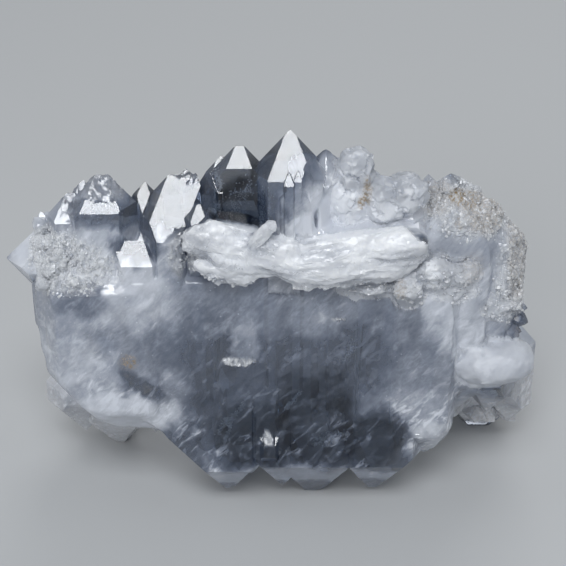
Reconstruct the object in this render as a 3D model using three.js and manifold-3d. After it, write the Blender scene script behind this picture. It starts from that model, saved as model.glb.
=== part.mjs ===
// Faden quartz cluster: a plate of quartz crystals grown side by side in parallel, with a frosted
// cross ridge, a crest of terminated crystals, milky lobes and patches of small druse crystals.
// Everything grew as one piece, so the crystals are joined into one solid.
//
// Millimetres. The crystals are laid out in the plate's own frame: x along the plate, y along the
// shared crystal axis (c axis) and z out of the plate's broad front face. The plate is then leaned
// back and stood on its lowest points, with +Z up and the origin under its middle.
import * as THREE from 'three';
import { ConvexGeometry } from 'three/addons/geometries/ConvexGeometry.js';
import { mergeVertices } from 'three/addons/utils/BufferGeometryUtils.js';
import Module from 'manifold-3d';

const wasm = await Module();
wasm.setup();

// ---------------------------------------------------------------- driving dimensions
const PLATE_LEAN = 10; // degrees that the crystal axis leans back from upright
const POLE_ANGLE = 51.79; // degrees from the crystal axis to the normal of a rhombohedron face
const FLOOR = -2.85; // height of the resting plane in the leaned plate frame
const FRONT = 2.5; // broad front face of the plate

const rad = THREE.MathUtils.degToRad;

// ---------------------------------------------------------------- small helpers
// Repeatable random numbers from 0 to 1.
function randomFrom(seed) {
  let state = seed >>> 0;
  return () => {
    state = (state + 0x6d2b79f5) >>> 0;
    let t = state;
    t = Math.imul(t ^ (t >>> 15), t | 1);
    t ^= t + Math.imul(t ^ (t >>> 7), t | 61);
    return ((t ^ (t >>> 14)) >>> 0) / 4294967296;
  };
}

const ON_PLANE = 1e-6; // how far outside a plane a point still counts as on it
const SAME_POINT = 1e-3; // corners nearer than this are one
const PARALLEL = 1e-6; // planes whose normals span less than this never meet in one point

// Corner points of the convex body that lies behind every plane (normal . p <= distance).
function corners(planes) {
  const points = [];
  const inside = (p) => planes.every(({ normal, distance }) => normal.dot(p) <= distance + ON_PLANE);
  for (let i = 0; i < planes.length; i++) {
    for (let j = i + 1; j < planes.length; j++) {
      for (let k = j + 1; k < planes.length; k++) {
        const p = meet(planes[i], planes[j], planes[k]);
        if (p && inside(p) && !points.some((q) => q.distanceTo(p) < SAME_POINT)) points.push(p);
      }
    }
  }
  return points;
}

// The point where three planes meet, or null where they don't.
function meet(a, b, c) {
  const bc = new THREE.Vector3().crossVectors(b.normal, c.normal);
  const determinant = a.normal.dot(bc);
  if (Math.abs(determinant) < PARALLEL) return null;
  const ca = new THREE.Vector3().crossVectors(c.normal, a.normal);
  const ab = new THREE.Vector3().crossVectors(a.normal, b.normal);
  return bc.multiplyScalar(a.distance)
    .addScaledVector(ca, b.distance)
    .addScaledVector(ab, c.distance)
    .divideScalar(determinant);
}

// A closed three.js geometry as a solid that can be joined and cut.
function solidFrom(geometry) {
  geometry.deleteAttribute('normal');
  geometry.deleteAttribute('uv');
  const merged = mergeVertices(geometry, 1e-4);
  return new wasm.Manifold(new wasm.Mesh({
    numProp: 3,
    vertProperties: new Float32Array(merged.attributes.position.array),
    triVerts: new Uint32Array(merged.index.array),
  }));
}

function hullSolid(points) {
  return solidFrom(new ConvexGeometry(points));
}

// Turn about x, y and z in degrees, about the point `centre`.
function turned(points, turn, centre) {
  const spin = new THREE.Matrix4().makeRotationFromEuler(new THREE.Euler(...turn.map(rad)));
  return points.map((p) => p.clone().sub(centre).applyMatrix4(spin).add(centre));
}

// ---------------------------------------------------------------- quartz crystals
// Face k of the prism points 60k degrees round from the front, and face k of an end pyramid leans
// over the same side.
function prismNormal(k) {
  return new THREE.Vector3(Math.sin(rad(60 * k)), 0, Math.cos(rad(60 * k)));
}

function pyramidNormal(k, end) {
  const out = Math.sin(rad(POLE_ANGLE));
  const along = end * Math.cos(rad(POLE_ANGLE));
  return new THREE.Vector3(out * Math.sin(rad(60 * k)), along, out * Math.cos(rad(60 * k)));
}

// One quartz crystal, a six-sided prism with a six-sided pyramid at each end.
//   x     its left and right edges          z     its back and front faces
//   tip   where the upper faces meet        foot  where the lower faces meet
//   rise  how far each upper face, from the front one round, passes above the tip
//   drop  how far each lower face passes below the foot
//   turn  its turn from the shared orientation, about x, y and z, in degrees
function crystal({ x, z, tip, foot, rise = [], drop = [], turn, edge }) {
  const centre = new THREE.Vector3((x[0] + x[1]) / 2, (tip[1] + foot[1]) / 2, (z[0] + z[1]) / 2);
  const sides = edge ?? [centre.z, centre.z];
  const left = new THREE.Vector3(x[0], 0, sides[0]);
  const right = new THREE.Vector3(x[1], 0, sides[1]);
  const onFace = [
    new THREE.Vector3(0, 0, z[1]), right, right, new THREE.Vector3(0, 0, z[0]), left, left,
  ];
  const planes = [];
  for (let k = 0; k < 6; k++) {
    const side = prismNormal(k);
    planes.push({ normal: side, distance: side.dot(onFace[k]) });
    const upper = pyramidNormal(k, 1);
    const top = new THREE.Vector3(tip[0], tip[1] + (rise[k] ?? 0), tip[2]);
    planes.push({ normal: upper, distance: upper.dot(top) });
    const lower = pyramidNormal(k, -1);
    const bottom = new THREE.Vector3(foot[0], foot[1] - (drop[k] ?? 0), foot[2]);
    planes.push({ normal: lower, distance: lower.dot(bottom) });
  }
  const points = corners(planes);
  return hullSolid(turn ? turned(points, turn, centre) : points);
}

const WIDE_SIDE = 1.06; // width of every second prism face's side, over the crystal's radius
const NARROW_SIDE = 0.94;
const MINOR_RISE = 0.3; // how far every second pyramid face passes above the tip, over the radius
const BURIED = 0.3; // the part of a small crystal that lies under its root, over its length

// A small crystal standing on `root`, of prism radius `radius` and length `length`, pointing along
// `axis`; its root end is plain, because it is buried.
function spike(root, axis, radius, length, twist) {
  const planes = [];
  for (let k = 0; k < 6; k++) {
    const minor = k % 2 === 1;
    planes.push({ normal: prismNormal(k), distance: radius * (minor ? WIDE_SIDE : NARROW_SIDE) });
    const upper = pyramidNormal(k, 1);
    planes.push({ normal: upper, distance: upper.y * (length + (minor ? MINOR_RISE * radius : 0)) });
  }
  planes.push({ normal: new THREE.Vector3(0, -1, 0), distance: BURIED * length });
  const stand = new THREE.Quaternion().setFromUnitVectors(new THREE.Vector3(0, 1, 0), axis);
  const spin = new THREE.Quaternion().setFromAxisAngle(new THREE.Vector3(0, 1, 0), rad(twist));
  const place = stand.multiply(spin);
  return hullSolid(corners(planes).map((p) => p.applyQuaternion(place).add(root)));
}

// A rounded, bumpy mass with half-sizes `size`, made of the hull of points spread over an ellipsoid.
function lump({ at, size, count = 40, rough = 0.08, seed = 1, turn }) {
  const random = randomFrom(seed);
  const centre = new THREE.Vector3(...at);
  const points = [];
  for (let i = 0; i < count; i++) {
    const y = 1 - (2 * (i + 0.5)) / count;
    const round = Math.sqrt(1 - y * y);
    const angle = i * Math.PI * (3 - Math.sqrt(5));
    const reach = 1 + rough * (2 * random() - 1);
    const p = new THREE.Vector3(round * Math.cos(angle), y, round * Math.sin(angle));
    points.push(p.multiplyScalar(reach).multiply(new THREE.Vector3(...size)).add(centre));
  }
  return hullSolid(turn ? turned(points, turn, centre) : points);
}

// ---------------------------------------------------------------- the plate
// The crest: crystals whose tips stand in a row above the cross ridge, from left to right.
const crest = [
  // broad shouldered crystal with the large front pyramid face
  { x: [-15.5, -8.8], z: [-5, 2.9], edge: [-0.8, -1], tip: [-11.5, 38.8, -1.74], foot: [-12, 17.5, -2],
    rise: [0, 4, 3.6, 0, 0.8, 0.9] },
  { x: [-12.6, -9.2], z: [-6, 1.2], tip: [-10.4, 39.3, -1.6], foot: [-10, 12, -3],
    rise: [-0.72, 0.2, 0.4, 0.8, 0.4, 0.5] },
  { x: [-11.4, -9], z: [-3, 0.4], tip: [-9.3, 39.4, -0.9], foot: [-9.4, 30, -2],
    rise: [-1.66, 0.1, 0.4, 1.6, 0.2, 0.2] },
  // small one standing forward at its right foot
  { x: [-10.5, -7.1], z: [-2, 3.2], edge: [1.4, 1.4], tip: [-9.06, 36.7, 1.5], foot: [-9, 26, 0],
    rise: [0, 0.4, 0.5, 0, 0.1, 0] },
  { x: [-9, -4.2], z: [-6, 1.5], tip: [-6.6, 41.0, -0.9], foot: [-8, 12, -3],
    rise: [0, 0.3, 0.5, 0.6, 0.2, 0.4] },
  { x: [-8.1, -1], z: [-5, 1.4], edge: [-0.8, -0.6], tip: [-4.5, 42.6, -0.1], foot: [-5, 10, -2],
    rise: [0, 0.45, 0.6, 0.1, 0.7, 0.6] },
  // the tallest, with its tip right of its middle, and smaller ones grown against its right shoulder
  { x: [-4, 4.2], z: [-5, 3.3], edge: [-0.9, -0.8], tip: [0.84, 44.14, 0.02], foot: [0, 8, -2],
    rise: [0, 0.5, 0.3, 0.5, 0.5, 0.66] },
  { x: [1.4, 4.2], z: [-1, 3.5], edge: [2, 2], tip: [2.6, 42.3, 1.9], foot: [2.7, 34, 1],
    turn: [0, 20, -4] },
  { x: [-0.6, 3.4], z: [0, 3.7], edge: [3, 3], tip: [1.2, 40.2, 2.9], foot: [1.2, 30, 2] },
  { x: [0.05, 1.25], z: [0, 4.2], edge: [3.9, 3.9], tip: [0.62, 41.06, 3.2], foot: [0.6, 30, 2] },
  { x: [1.1, 2], z: [0, 3.9], edge: [3.7, 3.7], tip: [1.55, 41.2, 3.1], foot: [1.5, 32, 2] },
  { x: [2.2, 7.2], z: [-5, 2.9], tip: [4.3, 41.9, -0.6], foot: [5, 14, -2],
    rise: [0.6, 0.6, 0.6, 0, 0.3, 0.3], turn: [0, -14, -1] },
  { x: [4.2, 12], z: [-6, 2.2], tip: [8, 40.6, -2], foot: [8, 14, -3], rise: [1.6, 0.8, 0.8, 0, 0.8, 0.8],
    turn: [0, 9, 2] },
  { x: [9.4, 16.4], z: [-6, 1.9], tip: [12.6, 38.4, -2], foot: [12, 14, -3],
    rise: [1.8, 0.8, 0.8, 0, 0.8, 0.8], turn: [0, -7, -2] },
];

// The lower plate, whose terminations are the row of points along the bottom edge.
const lowerPlate = [
  { x: [-20, -1.2], z: [-5.5, FRONT], tip: [-12, 33, -1.5], foot: [-6.9, -0.6, -0.95],
    drop: [0, 1.2, 1, 0.6, 0.6, 0.1], rise: [0, 9, 9, 1, 3, 3] },
  { x: [-9, 0.6], z: [-5, 2.3], tip: [-3, 34, -1.5], foot: [-3.8, 1.7, -0.6],
    drop: [0, 0.3, 0.4, 0.5, 0.5, 0.2] },
  { x: [-3.3, 0.2], z: [-2, 3.1], edge: [1.2, 1.2], tip: [-1.6, 10.7, 0.6], foot: [-1.7, 3.3, 0.9],
    rise: [0, 0.6, 1, 1, 1, 0.4], drop: [0, 0.3, 0.4, 0.5, 0.5, 0.2] },
  { x: [-5.4, 6], z: [-5.5, 2.4], tip: [0, 34, -1.5], foot: [-0.1, -0.75, -1.6],
    drop: [0, 0.1, 0.4, 0.5, 0.5, 0.1] },
  { x: [-2, 11], z: [-7.5, FRONT], tip: [4, 35, -1.5], foot: [3.4, -2.5, -2.9],
    drop: [0, 1.2, 0.6, 0, 0.6, 0.7], rise: [0, 3, 3, 1, 3, 3] },
  { x: [5, 17.4], z: [-6.5, 2.4], tip: [11, 34, -2], foot: [10.7, -1.4, -2.1],
    drop: [0, 0.6, 0.6, 0, 0.6, 0.6], rise: [0, 3, 3, 1, 3, 3] },
  { x: [10, 19.8], z: [-6, FRONT], edge: [-1, 0.3], tip: [15, 33, -2], foot: [16.6, 4.85, -0.3],
    drop: [0, 0.3, 0.3, 0.6, 0.6, 1.6], rise: [0, 3, 3, 1, 3, 3] },
];

// The left slab, thick and milky, bulging forward of the plate, and the steps up its shoulder.
const leftSlab = [
  { x: [-27.5, -11.5], z: [-6, 3.4], tip: [-22, 32.74, -1.35], foot: [-17, 8.2, 0.4],
    drop: [0, 2.6, 3, 0, 3.4, 3.2], rise: [0, 6, 6, 0, 2, 2.4] },
  { x: [-19, -9], z: [-5, 3.2], tip: [-15, 33.4, -1], foot: [-13, 16, -1], rise: [0, 2, 2, 1, 1, 0],
    drop: [0, 2, 2, 0, 2, 2] },
  // wedge with a straight upper edge
  { x: [-19.6, -11.6], z: [-5, 3.05], edge: [-1, -1], tip: [-16.5, 32.46, 1.22], foot: [-16, 16, -1],
    rise: [0, 1.7, 2, -0.12, 2, 1.3] },
  // glassy crystal of the left shoulder
  { x: [-23.6, -15.3], z: [-5.5, 2.0], edge: [-0.8, -1.6], tip: [-18.9, 39.1, -0.6], foot: [-19, 16, -3],
    rise: [0, 0.3, 0.6, 0.2, 1.4, 1.2] },
  { x: [-16.8, -13.2], z: [-6, 0.2], tip: [-14.9, 37.7, -1.8], foot: [-15, 16, -3],
    rise: [0, 0.3, 0.4, 0.3, 0.2, 0.3] },
  { x: [-23.2, -19.4], z: [-5.5, 0.2], tip: [-21.4, 38, -1.5], foot: [-21, 26, -3],
    rise: [0, 0.2, 0.3, 0.3, 0.3, 0.4] },
  { x: [-26.2, -19.4], z: [-5.5, 1.0], tip: [-23.2, 36.75, -0.98], foot: [-23, 16, -3],
    rise: [0, 2, 2, 0.4, 0.2, 0.2] },
  { x: [-28, -22], z: [-6, 1.4], tip: [-25, 33.6, -1.4], foot: [-25, 16, -3],
    rise: [0, 0.6, 0.6, 0.4, 0.2, 0.5] },
  { x: [-31.2, -23], z: [-5.4, -0.4], tip: [-27, 32.4, -3], foot: [-27.4, 25.6, -2.8],
    rise: [1, 2, 2, 1, 0, 0], drop: [1, 1, 1, 1, 0.6, 0.6], turn: [0, 14, -6] },
];

// The right slab, a flat milky crystal under the druse of the right shoulder.
const rightSlab = [
  { x: [12.5, 24.6], z: [-7, 1.0], tip: [19, 37.6, -3], foot: [20, 8, -4],
    rise: [2.4, 0.4, 0.4, 0, 1.6, 1.6] },
  { x: [14.6, 20.4], z: [-7, -0.6], tip: [16.6, 38.4, -3.6], foot: [18, 10, -4],
    turn: [0, 11, 4] },
  { x: [20, 27], z: [-8, 0.2], tip: [22.8, 33.4, -3], foot: [24, 8, -4], rise: [1.6, 1.8, 1.8, 1, 1, 1] },
];

// The masses behind the foot of the plate, which it leans back on.
const backFeet = [
  { x: [-25.4, -16.4], z: [-15.5, -6], tip: [-20.4, 24, -9.6], foot: [-20.4, -1.9, -12.1] },
  { x: [-20, -12.4], z: [-14, -5], tip: [-15.8, 27.6, -9.2], foot: [-15.9, 1.4, -9.8], turn: [0, 12, 1] },
  { x: [-28.4, -20], z: [-12.5, -4.4], tip: [-23.4, 15.4, -8.6], foot: [-24.1, 1.8, -9.8],
    turn: [0, 8, 0] },
  { x: [18, 29], z: [-19, -8], tip: [23, 20, -12], foot: [24.6, -1.9, -14.9],
    drop: [-0.8, 0.5, 0.5, 0, 0.5, 0] },
  { x: [22.4, 30], z: [-13, -4.6], tip: [26.5, 19, -8.6], foot: [27.4, 3.4, -9.6], turn: [0, -10, 0] },
];

// The back of the cluster, seen from behind as a second row of parallel crystals.
const backRow = [
  { x: [-17, -7], z: [-12.5, -3], tip: [-11.6, 36, -8.4], foot: [-11.6, 1.6, -8] },
  { x: [-9, 1.4], z: [-11, -3], tip: [-4, 39, -7], foot: [-4, -1.9, -7.6] },
  { x: [-2, 8.4], z: [-13.6, -3], tip: [3.4, 37, -8.6], foot: [3.4, -1.6, -9] },
  { x: [5.8, 15.8], z: [-12, -3], tip: [11, 35, -8], foot: [11.4, -2.2, -7.8] },
  { x: [13.4, 23], z: [-14, -4], tip: [18, 31, -9.6], foot: [18.4, 1.6, -9.4] },
  { x: [-13.4, -9.6], z: [-13.6, -8], tip: [-11.6, 24.6, -11], foot: [-11.4, 5, -11], turn: [3, 7, 4] },
  { x: [-8.2, -4.4], z: [-12.6, -7], tip: [-6.2, 29.4, -10.4], foot: [-6.3, 9, -10], turn: [0, 20, -2] },
  { x: [1.6, 6.2], z: [-14.6, -8], tip: [4.2, 21.6, -11.8], foot: [4, 1.4, -11], turn: [2, -12, 2] },
  { x: [8.6, 12.4], z: [-13.4, -8], tip: [10.4, 27.4, -11.2], foot: [10.6, 7, -11], turn: [0, 16, -3] },
  { x: [-19.4, -13], z: [-11, -4], tip: [-16.4, 32.4, -7.4], foot: [-16, 6, -7.4], turn: [0, -8, 3] },
];

// The frosted cross ridge that stands out of the plate's front just under the crest: stations along
// it, each with the heights of its upper and lower edge and how far it stands out.
const ridgeStations = [
  { x: -10.5, top: 33.4, bottom: 32.8, out: 3.5 },
  { x: -9.6, top: 34.5, bottom: 31.7, out: 4 },
  { x: -7.8, top: 35.7, bottom: 31.2, out: 4.4 },
  { x: -7.0, top: 35.5, bottom: 29.5, out: 4.6 },
  { x: -5.8, top: 35.4, bottom: 28.3, out: 4.7 },
  { x: -3.6, top: 35.1, bottom: 28.2, out: 4.8 },
  { x: -2.6, top: 34.7, bottom: 29.4, out: 4.8 },
  { x: -0.8, top: 33.9, bottom: 29.6, out: 5 },
  { x: 0.7, top: 33.6, bottom: 28.8, out: 5.2 },
  { x: 1.8, top: 33.4, bottom: 28.1, out: 5.2 },
  { x: 4.9, top: 33.9, bottom: 28.3, out: 5.1 },
  { x: 8, top: 34.5, bottom: 28.6, out: 5 },
  { x: 12.3, top: 34.9, bottom: 28.9, out: 4.6 },
  { x: 14.4, top: 34.3, bottom: 30.2, out: 4 },
  { x: 15.4, top: 32.7, bottom: 31.3, out: 3.3 },
];
const RIDGE_ROOT = 1; // depth where the ridge is rooted in the plate
const RIDGE_FLARE = 0.5; // how much wider the ridge is at its root, above and below
const RIDGE_EDGE = 0.8; // how far its upper and lower edge lie behind its front
const RIDGE_SHOULDER = 0.3; // where its front begins, over its height
const RIDGE_BELLY = 0.2; // how far its lower half stands out more than its upper half

function ridgeSection({ x, top, bottom, out }) {
  const shoulder = RIDGE_SHOULDER * (top - bottom);
  return [
    [top + RIDGE_FLARE, RIDGE_ROOT], [top, out - RIDGE_EDGE], [top - shoulder, out],
    [bottom + shoulder, out + RIDGE_BELLY], [bottom, out - RIDGE_EDGE], [bottom - RIDGE_FLARE, RIDGE_ROOT],
  ].map(([y, z]) => new THREE.Vector3(x, y, z));
}

function ridgePieces() {
  const sections = ridgeStations.map(ridgeSection);
  return sections.slice(1).map((section, i) => hullSolid([...sections[i], ...section]));
}

// Single crystals that lie at odds with the rest: rooted at `root` and pointing along `axis`.
const strays = [
  { root: [-3, 33.6, 4.4], axis: [0.64, 0.76, 0.12], radius: 0.62, length: 3.4, twist: 10 },
];

function strayPiece({ root, axis, radius, length, twist }) {
  return spike(new THREE.Vector3(...root), new THREE.Vector3(...axis).normalize(), radius, length, twist);
}

// Rounded and broken milky masses.
const knobs = [
  // knob right of the crest on its column, and the two-lobed knob beside it
  { at: [7.6, 40.0, 0.2], size: [2.5, 3, 2.4], seed: 5 },
  { at: [7.4, 37.5, 0], size: [3.3, 4.2, 2.7], seed: 6 },
  { at: [10.8, 37.4, 1.7], size: [2.1, 2.8, 2.2], seed: 7 },
  { at: [12.9, 38.1, 1.4], size: [2.6, 2.3, 2.3], seed: 9 },
  // milky egg on the lower right
  { at: [23.5, 16.9, -0.6], size: [5.2, 3.0, 3.7], count: 56, rough: 0.05, seed: 11 },
  // lens-shaped lobes of the cross ridge: lower left, left body, front bulge, lip on the right
  { at: [-6.2, 29.8, 3.2], size: [3.4, 1.3, 1.6], turn: [0, 0, -18], seed: 31 },
  { at: [-7.6, 33.3, 3.4], size: [3.2, 1.9, 1.5], turn: [0, 0, -12], seed: 32 },
  { at: [3.6, 30.6, 4.1], size: [4.8, 2.1, 1.6], turn: [0, 0, -4], seed: 33 },
  { at: [12.1, 33.1, 3.9], size: [3.6, 1.8, 1.8], turn: [0, 0, 10], seed: 34 },
  { at: [9.2, 27.3, 2.0], size: [3.4, 0.9, 1.5], turn: [0, 0, 4], rough: 0.14, seed: 35 },
  // broken lumps at the right end of the ridge, and the lobe under them
  { at: [13.5, 27.7, 2.5], size: [1.8, 2.5, 1.7], count: 26, rough: 0.16, seed: 13 },
  { at: [16.4, 29.2, 2.3], size: [2.5, 1.9, 1.8], count: 26, rough: 0.16, seed: 14 },
  { at: [19.2, 28.5, 1.7], size: [2.2, 1.6, 1.5], count: 24, rough: 0.18, seed: 15 },
  { at: [18, 26.4, 0.9], size: [3.2, 1.1, 1.6], turn: [0, 0, 10], seed: 16 },
  // flake under the right druse
  { at: [23, 23.8, -0.2], size: [2.4, 1.3, 1.1], turn: [0, 0, -6], count: 24, rough: 0.12, seed: 17 },
];

// ---------------------------------------------------------------- druse
// Patches of small crystals: `at` is the patch's middle, `spread` its half-sizes and `facing` the
// way that its crystals mostly point.
const drusePatches = [
  { at: [18.5, 35.1, -1.8], spread: [2.8, 1.9, 0.5], slope: -0.79, facing: [0, 1, 0.5], count: 12,
    radius: [0.6, 1.1], seed: 21 },
  { at: [21.3, 34.2, -2.2], spread: [1.9, 2, 0.6], slope: -0.79, facing: [0.5, 0.9, 0.5], count: 12,
    radius: [0.6, 1.1], seed: 22 },
  { at: [24.2, 29.4, -2], spread: [0.9, 2.6, 1.8], facing: [0.8, 0.6, 0.5], count: 14, radius: [0.5, 1],
    seed: 27 },
  { at: [25.6, 23.6, -2.4], spread: [0.4, 4, 2.2], facing: [1, 0.1, 0.5], count: 14, radius: [0.4, 0.8],
    seed: 23 },
  { at: [-24.6, 32, -0.6], spread: [1.6, 1.6, 0.6], slope: -0.79, facing: [-0.3, 1, 0.6], count: 12,
    radius: [0.4, 0.8], seed: 24 },
  { at: [-23.3, 29.8, 1.0], spread: [3, 2.2, 0.3], slope: -0.79, facing: [0, 0.8, 0.8], count: 18,
    radius: [0.35, 0.7], seed: 25 },
  { at: [24, 4.4, -12.6], spread: [4, 1.2, 3], facing: [0.4, -0.2, 0.8], count: 10, radius: [0.6, 1.1],
    seed: 26 },
];

const DRUSE_SCATTER = 0.55; // how far the druse crystals lean from their patch's way
const DRUSE_LENGTH = [1.8, 2.8]; // length of a druse crystal over its radius

function drusePieces({ at, spread, slope = 0, facing, count, radius, seed }) {
  const random = randomFrom(seed);
  const between = (low, high) => low + (high - low) * random();
  const outward = new THREE.Vector3(...facing).normalize();
  const made = [];
  for (let i = 0; i < count; i++) {
    const root = new THREE.Vector3(...at.map((v, axis) => v + between(-1, 1) * spread[axis]));
    root.z += slope * (root.y - at[1]);
    const aside = new THREE.Vector3(between(-1, 1), between(-1, 1), between(-1, 1));
    const axis = outward.clone().addScaledVector(aside, DRUSE_SCATTER).normalize();
    const width = between(...radius);
    made.push(spike(root, axis, width, width * between(...DRUSE_LENGTH), between(0, 60)));
  }
  return made;
}

// ---------------------------------------------------------------- assembly
const pieces = [
  ...[...crest, ...lowerPlate, ...leftSlab, ...rightSlab, ...backFeet, ...backRow].map(crystal),
  ...ridgePieces(),
  ...knobs.map(lump),
  ...strays.map(strayPiece),
  ...drusePatches.flatMap(drusePieces),
];
const grown = pieces.reduce((all, piece) => all.add(piece));

// Stand the plate up and cut the resting faces.
const stand = new THREE.Matrix4().makeRotationX(rad(90 - PLATE_LEAN));
const upright = grown.transform(stand.toArray());
const ROOM = 200; // size of the block that keeps everything above the resting plane
const above = new THREE.BoxGeometry(ROOM, ROOM, ROOM).translate(0, 0, FLOOR + ROOM / 2);
const rested = upright.intersect(solidFrom(above));

// Gaps left sealed between the crystals are grown shut: only the outermost skin is kept.
const [whole] = rested.decompose().sort((a, b) => b.volume() - a.volume());

function geometryFrom(solid) {
  const mesh = solid.getMesh();
  const geometry = new THREE.BufferGeometry();
  geometry.setAttribute('position', new THREE.BufferAttribute(mesh.vertProperties, 3));
  geometry.setIndex(new THREE.BufferAttribute(mesh.triVerts, 1));
  return geometry;
}

const quartz = new THREE.MeshStandardMaterial({ color: 0xd4dbe2, roughness: 0.12, metalness: 0 });
const geometry = geometryFrom(whole);
geometry.computeBoundingBox();
const cluster = new THREE.Mesh(geometry, quartz);
cluster.name = 'quartz_cluster';
const middle = geometry.boundingBox.getCenter(new THREE.Vector3());
cluster.position.set(-middle.x, -middle.y, -FLOOR);

const part = new THREE.Group();
part.add(cluster);
export default part;
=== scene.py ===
"""Looks of the faden quartz cluster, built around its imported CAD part.

The crystals share one orientation, so most places here are given in the plate's own frame, in
millimetres: x along the plate, y along the shared crystal axis (c axis) and z out of the broad front
face. to_row() takes them to the row frame, in metres.
"""

import itertools
import math
from collections import namedtuple

import bpy
import numpy as np
from mathutils import Matrix, Vector, noise
from mathutils.bvhtree import BVHTree


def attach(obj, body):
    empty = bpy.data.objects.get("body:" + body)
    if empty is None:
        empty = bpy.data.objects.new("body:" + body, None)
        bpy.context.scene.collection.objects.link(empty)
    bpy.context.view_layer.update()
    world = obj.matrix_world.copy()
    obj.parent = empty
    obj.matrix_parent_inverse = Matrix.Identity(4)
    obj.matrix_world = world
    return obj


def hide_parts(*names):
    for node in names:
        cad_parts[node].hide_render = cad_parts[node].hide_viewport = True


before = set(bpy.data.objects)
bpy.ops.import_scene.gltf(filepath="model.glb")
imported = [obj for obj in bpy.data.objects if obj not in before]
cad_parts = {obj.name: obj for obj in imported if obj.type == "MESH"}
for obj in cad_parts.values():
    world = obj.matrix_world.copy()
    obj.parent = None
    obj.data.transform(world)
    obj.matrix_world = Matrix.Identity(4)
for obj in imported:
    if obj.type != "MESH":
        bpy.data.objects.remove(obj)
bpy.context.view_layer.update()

# ---------------------------------------------------------------- frame of the plate
MM = 0.001
PLATE_LEAN = 10  # degrees that the crystal axis leans back from upright
PLATE_ORIGIN = (0.257, -9.323, 2.85)  # mm, the plate frame's origin in the row frame
STAND = np.array(Matrix.Rotation(math.radians(90 - PLATE_LEAN), 3, "X"))


def to_row(points):
    """From millimetres in the plate frame to metres in the row frame."""
    return (np.asarray(points, float) @ STAND.T + PLATE_ORIGIN) * MM


def to_plate(points):
    """The way back, from metres in the row frame."""
    return (np.asarray(points, float) / MM - PLATE_ORIGIN) @ STAND


def grounded(points):
    """The points with none of them lower than the floor."""
    places = to_row(points)
    places[:, 2] = np.maximum(places[:, 2], 0)
    return to_plate(places)


# ---------------------------------------------------------------- zones of the surface
# A zone is an ellipsoid in the plate frame: inside it a mask is `value`, and it fades to 0 over `fade`
# times its half-sizes.
Zone = namedtuple("Zone", "at size fade value", defaults=(0.3, 1.0))


def share(points, zone):
    """How far inside one zone each point is, from 0 to its value."""
    reach = np.linalg.norm((points - np.array(zone.at)) / np.array(zone.size), axis=1)
    t = np.clip((1 + zone.fade - reach) / zone.fade, 0, 1)
    return t * t * (3 - 2 * t) * zone.value


def mask(points, zones):
    """How far inside any of the zones each point is, from 0 to 1."""
    left = np.ones(len(points))
    for zone in zones:
        left *= 1 - share(points, zone)
    return 1 - left


# Rounded lumps: the knobs right of the crest, the egg at the right, and the chunks under the ridge.
KNOB_ZONES = [
    Zone((7.6, 40.0, 0.2), (2.6, 3.1, 2.5), 0.15),
    Zone((7.4, 37.5, 0), (3.4, 4.3, 2.8), 0.15),
    Zone((10.8, 37.4, 1.7), (2.2, 2.9, 2.3), 0.15),
    Zone((12.9, 38.1, 1.4), (2.7, 2.4, 2.4), 0.15),
]
EGG_ZONES = [Zone((23.5, 16.9, -0.6), (5.4, 3.2, 3.9), 0.12)]
CHUNK_ZONES = [
    Zone((13.5, 27.7, 2.5), (2.1, 2.8, 1.9), 0.15),
    Zone((16.4, 29.2, 2.3), (2.8, 2.1, 2.0), 0.15),
    Zone((19.2, 28.5, 1.7), (2.5, 1.9, 1.7), 0.15),
    Zone((18, 26.4, 0.9), (3.4, 1.3, 1.8), 0.15),
    Zone((23, 23.8, -0.2), (2.6, 1.5, 1.3), 0.15),
    Zone((9.2, 27.3, 2.0), (3.6, 1.1, 1.7), 0.15),
]
# The frosted cross ridge is everything between these limits that is nearer than its front depth.
RIDGE_LEFT, RIDGE_RIGHT = -11, 17
RIDGE_LOW = 26.6
RIDGE_FRONT = 3.45
RIDGE_TOP = ((-11, 34.4), (-7.8, 36.3), (-3.6, 35.4), (0.7, 34.3), (4.9, 34.6), (12.3, 35.6), (15.8, 33.4))
RIDGE_LINE = ((-11, 33.4), (-3, 31.9), (2, 30.9), (8, 31.6), (15.8, 32.4))  # its sagging middle
SOFT_FADE, HARD_FADE = 0.5, 0.3  # mm, over which its mask begins at its sides and at its top and front

# The small clear crystal that sticks up aslant from the ridge: its root, its direction, its length
# and how far the space it takes reaches about its axis.
ROD_ROOT, ROD_AXIS = np.array((-3, 33.6, 4.4)), np.array((0.64, 0.76, 0.12))
ROD_LENGTH, ROD_REACH, ROD_FADE = 3.4, 0.85, 0.1


def rod_mask(points):
    """Where the small aslant crystal is."""
    along = np.clip((points - ROD_ROOT) @ ROD_AXIS, 0, ROD_LENGTH)
    away = np.linalg.norm(points - ROD_ROOT - along[:, None] * ROD_AXIS, axis=1)
    return np.clip((ROD_REACH - away) / ROD_FADE, 0, 1)


def ridge_mask(points):
    """Where the frosted cross ridge is, without the small aslant crystal on it."""
    x, y, z = points.T
    top = np.interp(x, *np.array(RIDGE_TOP).T)
    inside = np.clip((z - RIDGE_FRONT) / HARD_FADE + 1, 0, 1)
    inside *= np.clip((x - RIDGE_LEFT) / SOFT_FADE, 0, 1) * np.clip((RIDGE_RIGHT - x) / SOFT_FADE, 0, 1)
    inside *= np.clip((y - RIDGE_LOW) / SOFT_FADE, 0, 1) * np.clip((top - y) / HARD_FADE, 0, 1)
    return inside * (1 - rod_mask(points))


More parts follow.
